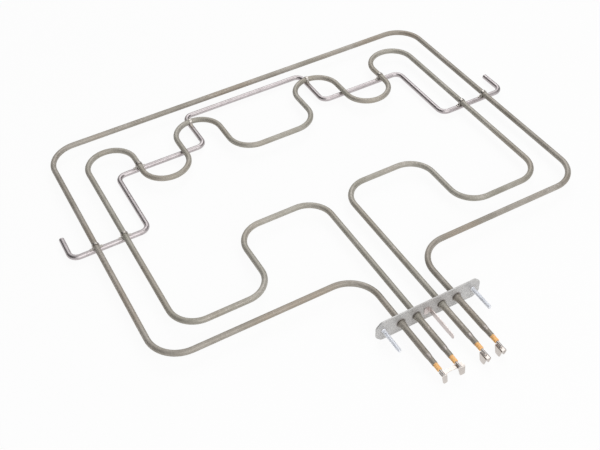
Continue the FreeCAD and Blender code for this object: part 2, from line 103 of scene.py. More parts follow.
@dataclass(frozen=True)
class Fade:
    """A smooth step of a value: where it starts and ends, and what it gives at either end."""

    low: float
    high: float
    to_low: float = 0.0
    to_high: float = 1.0


@dataclass(frozen=True)
class Patches:
    """Patches where a noise is high, with the readings between which they fade in."""

    noise: Noise
    fade: Fade


@dataclass(frozen=True)
class Layer:
    """A colour over a finish, and how much of it shows where its mask is full."""

    colour: Colour
    strength: float


@dataclass(frozen=True)
class Relief:
    """A surface relief: its strength, and its depth in millimetres."""

    strength: float
    depth: float


@dataclass(frozen=True)
class Signal:
    """A node's output, with the operators that the finishes' shader maths uses."""

    bench: "ShaderBench"
    socket: bpy.types.NodeSocket

    def maths(self, operation: str, *values: "Term") -> "Signal":
        """Add one Math node, with its inputs in order."""
        return self.bench.node("ShaderNodeMath", {"operation": operation}, dict(enumerate(values)))

    def __add__(self, other: "Term") -> "Signal":
        """self + other."""
        return self.maths("ADD", self, other)

    def __radd__(self, other: "Term") -> "Signal":
        """other + self."""
        return self.maths("ADD", other, self)

    def __sub__(self, other: "Term") -> "Signal":
        """self - other."""
        return self.maths("SUBTRACT", self, other)

    def __rsub__(self, other: "Term") -> "Signal":
        """other - self."""
        return self.maths("SUBTRACT", other, self)

    def __mul__(self, other: "Term") -> "Signal":
        """self * other."""
        return self.maths("MULTIPLY", self, other)

    def __rmul__(self, other: "Term") -> "Signal":
        """other * self."""
        return self.maths("MULTIPLY", other, self)

    def magnitude(self) -> "Signal":
        """The value without its sign."""
        return self.maths("ABSOLUTE", self)

    def larger(self, other: "Term") -> "Signal":
        """The larger of two values."""
        return self.maths("MAXIMUM", self, other)

    def mixed(self, other: "Signal", share: float) -> "Signal":
        """Both values in one, with the other's share of the whole."""
        return self * (1.0 - share) + other * share


Term = Union[Signal, float]


class ShaderBench:
    """The node tree of a material or the world, with short ways to add the nodes that finishes share."""

    # The sockets of a Mix node that mixes colours
    MIX_FACTOR, MIX_FIRST, MIX_SECOND = 0, 6, 7
    MIX_RESULT = 2

    def __init__(self, owner: Union[bpy.types.Material, bpy.types.World], place: str = "Object") -> None:
        """Clear the tree and fetch the coordinates.

        Args:
            owner: the material or world.
            place: the coordinates that its patterns lie in.
        """
        owner.use_nodes = True
        self.tree = owner.node_tree
        self.tree.nodes.clear()
        self.place = self.node("ShaderNodeTexCoord", output=place)

    def add(self, kind: str, settings: Optional[dict[str, Any]] = None,
            inputs: Optional[dict[Union[str, int], Any]] = None) -> bpy.types.Node:
        """Add a node, its settings first and then its sockets.

        Args:
            kind: the node's type.
            settings: its properties by name.
            inputs: a value or a signal for each socket that is named or numbered.

        Returns:
            The node.
        """
        added = self.tree.nodes.new(kind)
        for name, setting in (settings or {}).items():
            setattr(added, name, setting)
        for name, value in (inputs or {}).items():
            self.plug(added.inputs[name], value)
        return added

    def plug(self, socket: bpy.types.NodeSocket, value: Any) -> None:
        """Link a signal to a socket, or set the socket to a plain value.

        Args:
            socket: the socket.
            value: the signal, number, vector or colour.
        """
        if isinstance(value, Signal):
            self.tree.links.new(value.socket, socket)
        elif socket.type == "RGBA" and len(value) == 3:
            socket.default_value = (*value, 1.0)
        else:
            socket.default_value = value

    def node(self, kind: str, settings: Optional[dict[str, Any]] = None,
             inputs: Optional[dict[Union[str, int], Any]] = None, output: Union[str, int] = 0) -> Signal:
        """Add a node in the same way, and take its output of that name or number."""
        return Signal(self, self.add(kind, settings, inputs).outputs[output])

    def noise(self, pattern: Noise, at: Optional[Signal] = None) -> Signal:
        """Lay a smooth noise over the part.

        Args:
            pattern: the noise.
            at: the coordinates that it lies in, where they aren't the part's own.

        Returns:
            The noise, from 0 to 1.
        """
        inputs = {"Vector": at or self.place, "Scale": pattern.scale, "Detail": pattern.detail,
                  "Roughness": pattern.roughness}
        return self.node("ShaderNodeTexNoise", inputs=inputs, output="Fac")

    def fade(self, value: Signal, step: Fade, unit: float = 1.0) -> Signal:
        """Take a value through a smooth step.

        Args:
            value: the value.
            step: the step.
            unit: what the step's ends are measured in, such as MM for a length.

        Returns:
            The value after the step.
        """
        limits = {"Value": value, "From Min": step.low * unit, "From Max": step.high * unit,
                  "To Min": step.to_low, "To Max": step.to_high}
        return self.node("ShaderNodeMapRange", {"interpolation_type": "SMOOTHSTEP"}, limits)

    def patches(self, kind: Patches) -> Signal:
        """A mask of patches over the part."""
        return self.fade(self.noise(kind.noise), kind.fade)

    def stretched(self, scale: Place) -> Signal:
        """The part's coordinates scaled along each axis, for a pattern with a grain."""
        return self.node("ShaderNodeMapping", inputs={"Vector": self.place, "Scale": scale})

    def axis(self, name: str) -> Signal:
        """One of the coordinates that the patterns lie in."""
        return self.node("ShaderNodeSeparateXYZ", inputs={"Vector": self.place}, output=name)

    def near(self, x: float, inside: float, outside: float) -> Signal:
        """A round spot on the flange's long middle line.

        Args:
            x: where its centre is.
            inside: how far out it is full.
            outside: how far out it ends.

        Returns:
            A mask, 1 in the spot and 0 beyond it.
        """
        inputs = {0: self.place, 1: (x * MM, 0.0, 0.0)}
        gap = self.node("ShaderNodeVectorMath", {"operation": "DISTANCE"}, inputs, output="Value")
        return self.fade(gap, Fade(inside, outside, 1.0, 0.0), MM)

    def blend(self, factor: Term, first: Any, second: Any) -> Signal:
        """Mix two colours."""
        inputs = {self.MIX_FACTOR: factor, self.MIX_FIRST: first, self.MIX_SECOND: second}
        return self.node("ShaderNodeMix", {"data_type": "RGBA"}, inputs, output=self.MIX_RESULT)

    def lay(self, base: Signal, mask: Signal, layer: Layer) -> Signal:
        """Lay a colour over another where a mask says."""
        return self.blend(mask * layer.strength, base, layer.colour)

    def bump(self, height: Signal, relief: Relief) -> Signal:
        """The surface normal over a relief."""
        inputs = {"Height": height, "Strength": relief.strength, "Distance": relief.depth * MM}
        return self.node("ShaderNodeBump", inputs=inputs, output="Normal")

    def principled(self, **sockets: Any) -> None:
        """End in a Principled surface, with its sockets by name and _ for a space."""
        named = {name.replace("_", " "): value for name, value in sockets.items()}
        self.end(self.node("ShaderNodeBsdfPrincipled", inputs=named))

    def end(self, shader: Signal, kind: str = "ShaderNodeOutputMaterial") -> None:
        """Link a shader to the tree's output."""
        self.add(kind, inputs={"Surface": shader})


class Finish(ABC):
    """A finish that builds one material."""

    name: str

    def material(self) -> bpy.types.Material:
        """Make the material and paint it.

        Returns:
            The material.
        """
        made = bpy.data.materials.new(self.name)
        self.paint(ShaderBench(made))
        return made

    @abstractmethod
    def paint(self, bench: ShaderBench) -> None:
        """Add the finish's nodes to an empty tree."""


# Finishes


class Slot(Enum):
    """The record's material slots."""

    OUTER = "sheath_outer"
    INNER = "sheath_inner"
    PLATE = "galvanised_plate"
    EARTH = "earth_metal"
    WIRE = "wire_steel"
    TERMINAL = "terminal_metal"
    STUD = "stud_zinc"
    PIN = "pin_steel"
    SEAL = "seal_rubber"
    CLIP = "clip_steel"


@dataclass(frozen=True)
class SheathFinish(Finish):
    """Oxidised heater sheath: mottled olive grey, browner in places, greyer at the swaged ends.

    It has a dark ring where it meets the flange, weld tint with painted contact shade; light patches on top
    of the swage's taper, bare metal from wear with a painted highlight; and light flecks along the top, rub
    marks with painted glints.
    """

    name: str
    light: Colour
    deep: Colour
    brown: Layer
    clouds: Noise = Noise(34.0, 4.0, 0.6)
    mottle: Noise = Noise(310.0, 4.0, 0.65)
    mottle_share: float = 0.28
    tone: Fade = Fade(0.34, 0.66)
    grain: Noise = Noise(1900.0, 2.0, 0.5)
    brown_areas: Patches = Patches(Noise(11.0, 2.0), Fade(0.46, 0.62))
    brown_mottle: Fade = Fade(0.3, 0.7, 0.45, 1.0)
    cold: Layer = Layer((0.312, 0.283, 0.246), 0.6)
    cold_reach: Fade = Fade(-48.0, -12.0, 1.0, 0.0)
    # Weld tint with painted contact shade: a near-black ring where the tube meets the flange
    joint_tint_and_shade: Layer = Layer((0.11, 0.095, 0.08), 0.85)
    joint_tint_and_shade_reach: Fade = Fade(0.4, 3.0, 1.0, 0.0)
    joint_tint_and_shade_mottle: Fade = Fade(0.3, 0.6, 0.6, 1.0)
    # Bare metal from wear on top of the swage's taper, lightened there as a painted highlight
    wear_and_highlight: Layer = Layer((0.66, 0.60, 0.57), 0.85)
    wear_and_highlight_depth: float = 47.8
    wear_and_highlight_reach: Fade = Fade(1.2, 3.4, 1.0, 0.0)
    wear_and_highlight_height: Fade = Fade(0.2, 2.2)
    wear_and_highlight_spots: Patches = Patches(Noise(420.0, 3.0, 0.7), Fade(0.40, 0.58, 0.25, 1.0))
    # Rub marks along the top, whose light flecks are painted glints
    rubs_and_glints: Layer = Layer((0.66, 0.60, 0.57), 0.55)
    rubs_and_glints_height: Fade = Fade(0.8, 2.6)
    rubs_and_glints_areas: Patches = Patches(Noise(16.0, 2.0), Fade(0.50, 0.60))
    rubs_and_glints_spots: Patches = Patches(Noise(520.0, 3.0, 0.6), Fade(0.54, 0.66))
    rough: float = 0.44
    mottle_rough: float = 0.10
    grain_rough: float = 0.03
    worn_gloss: float = 0.12
    metal: float = 0.42
    worn_metal: float = 0.4
    relief: Relief = Relief(0.15, 0.03)
    relief_mottle_share: float = 0.6

    def paint(self, bench: ShaderBench) -> None:
        """Add the finish's nodes to an empty tree.

        Args:
            bench: the bench that holds the material's tree.
        """
        clouds = bench.noise(self.clouds)
        mottle = bench.noise(self.mottle)
        grain = bench.noise(self.grain)
        along, height = bench.axis("Y"), bench.axis("Z")
        tone = bench.fade(clouds.mixed(mottle, self.mottle_share), self.tone)
        colour = bench.blend(tone, self.deep, self.light)
        browned = bench.patches(self.brown_areas) * bench.fade(mottle, self.brown_mottle)
        colour = bench.lay(colour, browned, self.brown)
        colour = bench.lay(colour, bench.fade(along, self.cold_reach, MM), self.cold)
        # Weld tint and painted contact shade where the tube meets the flange
        joined = bench.fade(along.magnitude(), self.joint_tint_and_shade_reach, MM) * bench.fade(mottle, self.joint_tint_and_shade_mottle)
        colour = bench.lay(colour, joined, self.joint_tint_and_shade)
        # Wear on the taper, lightened on the top side as a painted highlight; its gloss and metal change
        # too
        from_taper = (along + self.wear_and_highlight_depth * MM).magnitude()
        wear_and_highlight = bench.fade(from_taper, self.wear_and_highlight_reach, MM) * bench.fade(height, self.wear_and_highlight_height, MM)
        wear_and_highlight = wear_and_highlight * bench.patches(self.wear_and_highlight_spots)
        colour = bench.lay(colour, wear_and_highlight, self.wear_and_highlight)
        # Rub marks with painted glints, on the top side only
        rubs_and_glints = bench.patches(self.rubs_and_glints_areas) * bench.patches(self.rubs_and_glints_spots)
        rubs_and_glints = rubs_and_glints * bench.fade(height, self.rubs_and_glints_height, MM)
        colour = bench.lay(colour, rubs_and_glints, self.rubs_and_glints)
        rough = self.rough + mottle * self.mottle_rough + grain * self.grain_rough - wear_and_highlight * self.worn_gloss
        relief = bench.bump(grain.mixed(mottle, self.relief_mottle_share), self.relief)
        metallic = self.metal + wear_and_highlight * self.worn_metal
        bench.principled(Base_Color=colour, Metallic=metallic, Roughness=rough, Normal=relief)


@dataclass(frozen=True)
class BrightFinish(Finish):
    """Bright drawn or rolled steel: fine streaks, faint stains and small changes of gloss."""

    name: str
    light: Colour
    dark: Colour
    stain: Colour
    rough: float = 0.24
    fineness: float = 900.0
    metal: float = 1.0
    clouds: Noise = Noise(70.0)
    cloud_share: float = 0.6
    tone: Fade = Fade(0.3, 0.7)
    stains: Patches = Patches(Noise(150.0), Fade(0.55, 0.72))
    stain_strength: float = 0.5
    fine_rough: float = 0.04
    stain_rough: float = 0.08
    relief: Relief = Relief(0.04, 0.02)

    def paint(self, bench: ShaderBench) -> None:
        """Add the finish's nodes to an empty tree.

        Args:
            bench: the bench that holds the material's tree.
        """
        fine = bench.noise(Noise(self.fineness, roughness=0.6))
        tone = bench.fade(fine.mixed(bench.noise(self.clouds), self.cloud_share), self.tone)
        stained = bench.patches(self.stains) * self.stain_strength
        colour = bench.blend(stained, bench.blend(tone, self.dark, self.light), self.stain)
        rough = self.rough + fine * self.fine_rough + stained * self.stain_rough
        relief = bench.bump(fine, self.relief)
        bench.principled(Base_Color=colour, Metallic=self.metal, Roughness=rough, Normal=relief)


@dataclass(frozen=True)
class PlateFinish(Finish):
    """Galvanised flange: fine spangle, weld tint at the studs, a faint warm tint over the middle, weld tint
    with painted contact shade round the tubes, and a darker spot round the tab's root.

    Each mark gives how far out it is full and how far out it ends.
    """

    name: str
    tubes: tuple[float, ...]
    studs: tuple[float, ...]
    light: Colour = (0.58, 0.572, 0.562)
    dark: Colour = (0.518, 0.512, 0.505)
    spangle_scale: float = 520.0
    clouds: Noise = Noise(120.0, 4.0, 0.65)
    cloud_share: float = 0.8
    tone: Fade = Fade(0.25, 0.75)
    # Weld tint at the studs and a warm tint in the middle; round the tubes it is weld tint with painted
    # contact shade, and at the tab a darker spot
    plate_tint_and_shade: Layer = Layer((0.29, 0.25, 0.23), 0.8)
    tab_mark: Point = (3.0, 6.0)
    tab_darkening: float = 0.6
    tube_mark: Point = (4.0, 6.8)
    stud_mark: Point = (2.4, 5.0)
    stud_heat: float = 0.45
    middle_mark: Point = (12.0, 38.0)
    middle_heat: float = 0.6
    rough: float = 0.42
    cloud_rough: float = 0.14
    spangle_gloss: float = 0.04
    metal: float = 0.35
    heat_dulling: float = 0.2
    relief: Relief = Relief(0.10, 0.03)

    def paint(self, bench: ShaderBench) -> None:
        """Add the finish's nodes to an empty tree.

        Args:
            bench: the bench that holds the material's tree.
        """
        inputs = {"Vector": bench.place, "Scale": self.spangle_scale, "Randomness": 1.0}
        flakes = bench.node("ShaderNodeTexVoronoi", {"feature": "F1"}, inputs, output="Color")
        spangle = bench.node("ShaderNodeSeparateColor", inputs={"Color": flakes}, output="Red")
        clouds = bench.noise(self.clouds)
        tone = bench.fade(spangle.mixed(clouds, self.cloud_share), self.tone)
        colour = bench.blend(tone, self.dark, self.light)
        # Darker round the tab's root, and weld tint with painted contact shade round each tube
        plate_tinted_and_shaded = bench.near(0.0, *self.tab_mark) * self.tab_darkening
        for x in self.tubes:
            plate_tinted_and_shaded = plate_tinted_and_shaded.larger(bench.near(x, *self.tube_mark))
        for x in self.studs:
            plate_tinted_and_shaded = plate_tinted_and_shaded.larger(bench.near(x, *self.stud_mark) * self.stud_heat)
        plate_tinted_and_shaded = plate_tinted_and_shaded.larger(bench.near(0.0, *self.middle_mark) * clouds * self.middle_heat)
        colour = bench.lay(colour, plate_tinted_and_shaded, self.plate_tint_and_shade)
        rough = self.rough + clouds * self.cloud_rough - spangle * self.spangle_gloss
        relief = bench.bump(clouds, self.relief)
        metallic = self.metal - plate_tinted_and_shaded * self.heat_dulling
        bench.principled(Base_Color=colour, Metallic=metallic, Roughness=rough, Normal=relief)


@dataclass(frozen=True)
class SealFinish(Finish):
    """Orange silicone of the end seals: soft, slightly cloudy, with moulding bands."""

    name: str
    light: Colour = (1.0, 0.59, 0.24)
    deep: Colour = (0.97, 0.53, 0.20)
    clouds: Noise = Noise(260.0, 3.0, 0.6)
    bands: Noise = Noise(1.0, 2.0)
    band_scale: Place = (60.0, 1300.0, 60.0)
    band_share: float = 0.2
    tone: Fade = Fade(0.3, 0.7)
    rough: float = 0.46
    cloud_rough: float = 0.14
    relief: Relief = Relief(0.1, 0.04)
    scatter: float = 0.15
    scatter_depth: Place = (2.0 * MM, 0.8 * MM, 0.3 * MM)

    def paint(self, bench: ShaderBench) -> None:
        """Add the finish's nodes to an empty tree.

        Args:
            bench: the bench that holds the material's tree.
        """
        clouds = bench.noise(self.clouds)
        bands = bench.noise(self.bands, bench.stretched(self.band_scale))
        tone = bench.fade(clouds.mixed(bands, self.band_share), self.tone)
        colour = bench.blend(tone, self.deep, self.light)
        rough = self.rough + clouds * self.cloud_rough
        relief = bench.bump(bands, self.relief)
        bench.principled(Base_Color=colour, Roughness=rough, Normal=relief,
                         Subsurface_Weight=self.scatter, Subsurface_Radius=self.scatter_depth)


# Piece building


class Workpiece:
    """A bmesh in millimetres on which one piece is shaped, and the steps that finish it."""

    def __init__(self) -> None:
        """Start empty."""
        self.bm = bmesh.new()

    def lathe(self, profile: Sequence[Point], x: float, steps: int) -> None:
        """Turn a profile about an axis along Y.

        Args:
            profile: radius and y of each point in order; it is closed unless it starts on the axis.
            x: where the axis crosses the X axis.
            steps: faces round the axis.
        """
        points = [self.bm.verts.new((x + radius, y, 0.0)) for radius, y in profile]
        edges = [self.bm.edges.new(pair) for pair in zip(points, points[1:])]
        if profile[0][0] > 0.0:
            edges.append(self.bm.edges.new((points[-1], points[0])))
        bmesh.ops.spin(self.bm, geom=points + edges, cent=(x, 0.0, 0.0), axis=INTO_OVEN,
                       angle=FULL_TURN, steps=steps, use_merge=True)
        bmesh.ops.remove_doubles(self.bm, verts=self.bm.verts, dist=FINE_TOLERANCE)

    def copy_node(self, node: str) -> None:
        """Take a CAD node's faces, joined and without the lines that cross flat faces.

        Args:
            node: the node's name.
        """
        self.bm.from_mesh(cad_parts[node].data)
        bmesh.ops.scale(self.bm, vec=Vector((1.0, 1.0, 1.0)) / MM, verts=self.bm.verts)
        bmesh.ops.remove_doubles(self.bm, verts=self.bm.verts, dist=TOLERANCE)
        bmesh.ops.dissolve_limit(self.bm, angle_limit=FLAT_ANGLE, use_dissolve_boundaries=False,
                                 verts=self.bm.verts, edges=self.bm.edges, delimit={"NORMAL"})

    def soften(self, width: float, segments: int = 2) -> None:
        """Bevel every sharp edge.

        Args:
            width: how wide the bevel is.
            segments: how many faces cross it.
        """
        edges = [edge for edge in self.bm.edges if edge.calc_face_angle(0.0) > BEVEL_ANGLE]
        bmesh.ops.bevel(self.bm, geom=edges, offset=width, offset_type="OFFSET", segments=segments,
                        profile=0.5, affect="EDGES", material=-1, clamp_overlap=True)

    def to_mesh(self, name: str) -> bpy.types.Mesh:
        """Hand the shape over as a mesh, and free the bmesh.

        Args:
            name: the mesh's name.

        Returns:
            The mesh.
        """
        mesh = bpy.data.meshes.new(name)
        self.bm.to_mesh(mesh)
        self.bm.free()
        return mesh

    def finish(self, name: str, slot: Slot, material: bpy.types.Material,
               turn_out: bool = True, flat_faces: bool = False) -> bpy.types.Object:
        """Make the object, dressed and riding on the part.

        Args:
            name: the piece's name, which is also that of the CAD node that it stands for.
            slot: the record's slot for the piece; not used.
            material: its material.
            turn_out: work out which way is outwards.
            flat_faces: weight the normals, so that wide faces stay flat beside their bevels.

        Returns:
            The piece, at the origin, in metres.
        """
        bmesh.ops.scale(self.bm, vec=Vector((MM, MM, MM)), verts=self.bm.verts)
        if turn_out:
            bmesh.ops.recalc_face_normals(self.bm, faces=self.bm.faces)
        for face in self.bm.faces:
            face.smooth = True
        for edge in self.bm.edges:
            edge.smooth = edge.calc_face_angle(0.0) < SHARP_ANGLE
        mesh = self.to_mesh(name)
        mesh.materials.append(material)
        piece = put_in_scene(name, mesh)
        if flat_faces:
            weighting = piece.modifiers.new("Flat faces", "WEIGHTED_NORMAL")
            weighting.keep_sharp = True
        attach(piece, "root")
        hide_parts(name)
        return piece


class TubeBender:
    """Draws a round tube as a bending machine does: feeds, bends, and changes of diameter."""

    def __init__(self, bm: bmesh.types.BMesh, start: Vector, heading: Vector, radius: float,
                 sides: int) -> None:
        """Put the first ring in place, closed by a face.

        Args:
            bm: the bmesh that takes the tube.
            start: the ring's centre.
            heading: the way that the tube sets off.
            radius: the ring's radius.
            sides: points round the ring.
        """
        self.bm = bm
        self.centre = start.copy()
        self.heading = heading.normalized()
        self.radius = radius
        turn = UP.rotation_difference(self.heading).to_matrix().to_4x4()
        made = bmesh.ops.create_circle(bm, cap_ends=True, segments=sides, radius=radius,
                                       matrix=Matrix.Translation(start) @ turn)
        self.ring = list({edge for point in made["verts"] for edge in point.link_edges})

    def feed(self, length: float, radius: Optional[float] = None) -> None:
        """Run straight on, to a new radius where one is given.

        Args:
            length: how far, which may be 0 for a shoulder, or less than 0 inside a bore.
            radius: the radius at the far end.
        """
        made = bmesh.ops.extrude_edge_only(self.bm, edges=self.ring)["geom"]
        points = {item for item in made if isinstance(item, bmesh.types.BMVert)}
        edges = [item for item in made if isinstance(item, bmesh.types.BMEdge)]
        self.ring = [edge for edge in edges if set(edge.verts) <= points]
        if radius is not None and radius != self.radius:
            growth = radius / self.radius
            bmesh.ops.scale(self.bm, vec=(growth, growth, growth),
                            space=Matrix.Translation(-self.centre), verts=list(points))
            self.radius = radius
        step = self.heading * length
        bmesh.ops.translate(self.bm, vec=step, verts=list(points))
        self.centre += step

    def bend(self, radius: float, angle: float, steps: int) -> None:
        """Bend in the flat plane.

        Args:
            radius: the middle line's radius.
            angle: how far, anticlockwise seen from above.
            steps: rings along the bend.
        """
        side = UP.cross(self.heading) * math.copysign(radius, angle)
        pivot = self.centre + side
        points = list({point for edge in self.ring for point in edge.verts})
        made = bmesh.ops.spin(self.bm, geom=points + self.ring, cent=pivot, axis=UP, angle=angle,
                              steps=steps, use_merge=False, use_duplicate=False)
        self.ring = [item for item in made["geom_last"] if isinstance(item, bmesh.types.BMEdge)]
        turn = Matrix.Rotation(angle, 3, "Z")
        self.centre = pivot + turn @ (self.centre - pivot)
        self.heading = turn @ self.heading

    def follow(self, corners: Sequence[Corner], end: Point, steps: int) -> None:
        """Run through corners to an end, with a round bend at each.

        Args:
            corners: x, y and bend radius of each corner.
            end: x and y of the end.
            steps: rings along each bend.
        """
        level = self.centre.z
        goals = [Vector((x, y, level)) for x, y, _ in corners] + [Vector((*end, level))]
        for (_, _, radius), corner, following in zip(corners, goals, goals[1:]):
            outward = (following - corner).normalized()
            angle = math.atan2(self.heading.cross(outward).z, self.heading.dot(outward))
            room = radius * math.tan(abs(angle) / 2.0)
            length = (corner - self.centre).length - room
            if length > TOLERANCE:
                self.feed(length)
            self.bend(radius, angle, steps)
        self.feed((goals[-1] - self.centre).length)

    def close(self) -> None:
        """Close the open end."""
        bmesh.ops.edgeloop_fill(self.bm, edges=self.ring)


def both_halves(left: Sequence[Corner]) -> list[Corner]:
    """A left half's corners and then their mirror images, from the middle outwards."""
    return [*left, *((-x, y, bend) for x, y, bend in reversed(left))]


class Piece(ABC):
    """A piece of the element, which is shaped first and then dressed."""

    @abstractmethod
    def build(self) -> Workpiece:
        """Shape the piece."""

    @abstractmethod
    def dress(self, work: Workpiece) -> bpy.types.Object:
        """Make the piece's object and give it its finish."""


# Tubes and wire


@dataclass(frozen=True)
class Layout:
    """The driving dimensions of the element's plane, and the routes that follow from them.

    Places are those of the middle lines of tubes and wire, and x is how far they lie from the middle.
    """

    outer_leg_x: float = 32.5
    outer_near_y: float = 73.0
    outer_far_y: float = 426.0
    outer_half_width: float = 253.5
    outer_bend: float = 33.8
    inner_leg_x: float = 14.6
    inner_near_gap: float = 27.7
    inner_side_gap: float = 32.6
    inner_far_gap: float = 33.0
    inner_bend: float = 28.8
    loop_side_x: float = 117.5
    loop_depth: float = 92.0
    wave_first_x: float = 53.5
    wave_depth: float = 82.2
    wave_runs: int = 4
    hook_reach: float = 28.1
    hook_length: float = 34.8
    wire_bend: float = 9.5
    wire_middle_gap: float = 39.7
    wire_far_gap: float = 13.9

    @property
    def legs(self) -> tuple[float, ...]:
        """Where the four cold ends cross the flange, from left to right."""
        return (-self.outer_leg_x, -self.inner_leg_x, self.inner_leg_x, self.outer_leg_x)

    @property
    def loop_near_y(self) -> float:
        """The near runs of the inner circuit."""
        return self.outer_near_y + self.inner_near_gap

    @property
    def loop_far_y(self) -> float:
        """The far runs of the loops beside the flange."""
        return self.loop_near_y + self.loop_depth

    @property
    def crest_y(self) -> float:
        """The wave's turns at the far side."""
        return self.outer_far_y - self.inner_far_gap

    @property
    def trough_y(self) -> float:
        """The wave's turns at the near side."""
        return self.crest_y - self.wave_depth

    @property
    def wire_near_y(self) -> float:
        """The wire's outer runs, midway between the loops and the wave's troughs."""
        return (self.loop_far_y + self.trough_y) / 2.0

    @property
    def hook_end(self) -> Point:
        """How far out the wire's hooks stand, and where they end."""
        return (self.outer_half_width + self.hook_reach, self.wire_near_y + self.hook_length)

    def wave_columns(self) -> list[float]:
        """How far out each long run of the wave lies.

        Returns:
            The distances, with the outermost first.
        """
        outermost = self.outer_half_width - self.inner_side_gap
        pitch = (outermost - self.wave_first_x) / (self.wave_runs - 1)
        return [outermost - pitch * run for run in range(self.wave_runs)]

    def outer_corners(self) -> list[Corner]:
        """Corners of the outer circuit's left half.

        Returns:
            The corners in order, from the flange to the middle.
        """
        places = ((self.outer_leg_x, self.outer_near_y), (self.outer_half_width, self.outer_near_y),
                  (self.outer_half_width, self.outer_far_y))
        return [(-x, y, self.outer_bend) for x, y in places]

    def inner_corners(self) -> list[Corner]:
        """Corners of the inner circuit's left half: the loop beside the flange, and the wave.

        Returns:
            The corners in order, from the flange to the middle.
        """
        columns = self.wave_columns()
        half_turn = (columns[0] - columns[1]) / 2.0
        loop = ((self.inner_leg_x, self.loop_far_y), (self.loop_side_x, self.loop_far_y),
                (self.loop_side_x, self.loop_near_y), (columns[0], self.loop_near_y))
        corners = [(-x, y, self.inner_bend) for x, y in loop]
        for run, (outer, inner) in enumerate(zip(columns, columns[1:])):
            level = self.trough_y if run % 2 else self.crest_y
            corners += [(-outer, level, half_turn), (-inner, level, half_turn)]
        corners.append((-columns[-1], self.trough_y, self.inner_bend))
        return corners

    def wire_corners(self) -> list[Corner]:
        """Corners of the wire's left half, which crosses the middles of the wave's two crests.

        Returns:
            The corners in order, from the hook to the middle.
        """
        columns = self.wave_columns()
        side_x = (columns[0] + columns[1]) / 2.0
        inner_x = (columns[-2] + columns[-1]) / 2.0
        middle_y = self.trough_y + self.wire_middle_gap
        places = ((self.hook_end[0], self.wire_near_y), (side_x, self.wire_near_y), (side_x, middle_y),
                  (inner_x, middle_y), (inner_x, self.outer_far_y - self.wire_far_gap))
        return [(-x, y, self.wire_bend) for x, y in places]


@dataclass
class TubeEnd:
    """The round end of a heater tube outside the flange: mouth, swaged neck, shank and collar.

    The collar's rim gives the height over the flange and the distance inside the collar's radius of
    each ring, and its foot the same over the seat's radius.
    """

    tube_radius: float = 3.25
    bore_radius: float = 1.55
    bore_depth: float = 8.0
    mouth_round: float = 0.2
    neck_radius: float = 2.8
    length: float = 57.4
    neck_length: float = 7.8
    neck_taper: float = 3.8
    taper_run_out: float = 0.6
    taper_rounding: float = 0.03
    collar_length: float = 9.0
    collar_radius: float = 4.4
    collar_rim: float = 1.0
    collar_rounding: tuple[Point, ...] = ((0.75, 0.02), (0.45, 0.14))
    foot_rounding: Point = (0.15, 0.12)
    seat_radius: float = 3.9
    flare_steps: int = 7

    def profile(self) -> list[Point]:
        """The outline from inside the bore to the flange.

        Returns:
            y and radius of each ring in order.
        """
        rings = [(self.bore_depth - self.length, self.bore_radius), (-self.length, self.bore_radius),
                 (-self.length, self.neck_radius - self.mouth_round),
                 (self.mouth_round - self.length, self.neck_radius)]
        neck_end = self.neck_length - self.length
        taper_end = neck_end + self.neck_taper
        rings += [(neck_end - self.taper_run_out, self.neck_radius),
                  (neck_end, self.neck_radius + self.taper_rounding),
                  (taper_end, self.tube_radius - self.taper_rounding),
                  (taper_end + self.taper_run_out, self.tube_radius)]
        rings += self.flare()
        rings += [(-height, self.collar_radius - inset) for height, inset in self.collar_rounding]
        height, outset = self.foot_rounding
        rings += [(-height, self.seat_radius + outset), (0.0, self.seat_radius), (0.0, self.tube_radius)]
        return rings

    def flare(self) -> list[Point]:
        """The collar's outline, an arc that leaves the tube along it and ends at the collar's rim.

        Returns:
            y and radius of each ring in order.
        """
        run = self.collar_length - self.collar_rim
        rise = self.collar_radius - self.tube_radius
        sweep = (run * run + rise * rise) / (2.0 * rise)
        rings = []
        for step in range(self.flare_steps + 1):
            gone = run * step / self.flare_steps
            radius = self.tube_radius + sweep - math.sqrt(sweep ** 2 - gone ** 2)
            rings.append((gone - self.collar_length, radius))
        return rings


@dataclass
class HeaterTube(Piece):
    """A heater tube, bent from one end to the other through its corners on both sides."""

    name: str
    slot: Slot
    finish: SheathFinish
    leg_x: float
    left_corners: list[Corner]
    end: TubeEnd = field(default_factory=TubeEnd)
    sides: int = 36
    bend_steps: int = 14

    def build(self) -> Workpiece:
        """Bend the tube.

        Returns:
            The tube.
        """
        work = Workpiece()
        rings = self.end.profile()
        here, radius = rings[0]
        bender = TubeBender(work.bm, Vector((-self.leg_x, here, 0.0)), INTO_OVEN, radius, self.sides)
        for y, radius in rings[1:]:
            bender.feed(y - here, radius)
            here = y
        bender.follow(both_halves(self.left_corners), (self.leg_x, 0.0), self.bend_steps)
        for y, radius in reversed(rings[:-1]):
            bender.feed(here - y, radius)
            here = y
        bender.close()
        return work

    def dress(self, work: Workpiece) -> bpy.types.Object:
        """Give the tube its oxidised finish."""
        return work.finish(self.name, self.slot, self.finish.material())


@dataclass
class SupportWire(Piece):
    """The bent wire under both heaters, with its two hooks."""

    finish: BrightFinish
    layout: Layout
    radius: float = 3.0
    level: float = -6.25
    chamfer: float = 0.45
    sides: int = 28
    bend_steps: int = 10

    def build(self) -> Workpiece:
        """Bend the wire.

        Returns:
            The wire.
        """
        work = Workpiece()
        x, y = self.layout.hook_end
        start = Vector((-x, y, self.level))
        bender = TubeBender(work.bm, start, -INTO_OVEN, self.radius - self.chamfer, self.sides)
        bender.feed(self.chamfer, self.radius)
        bender.follow(both_halves(self.layout.wire_corners()), (x, y - self.chamfer), self.bend_steps)
        bender.feed(self.chamfer, self.radius - self.chamfer)
        bender.close()
        return work

    def dress(self, work: Workpiece) -> bpy.types.Object:
        """Give the wire its bright finish."""
        return work.finish("support_wire", Slot.WIRE, self.finish.material())


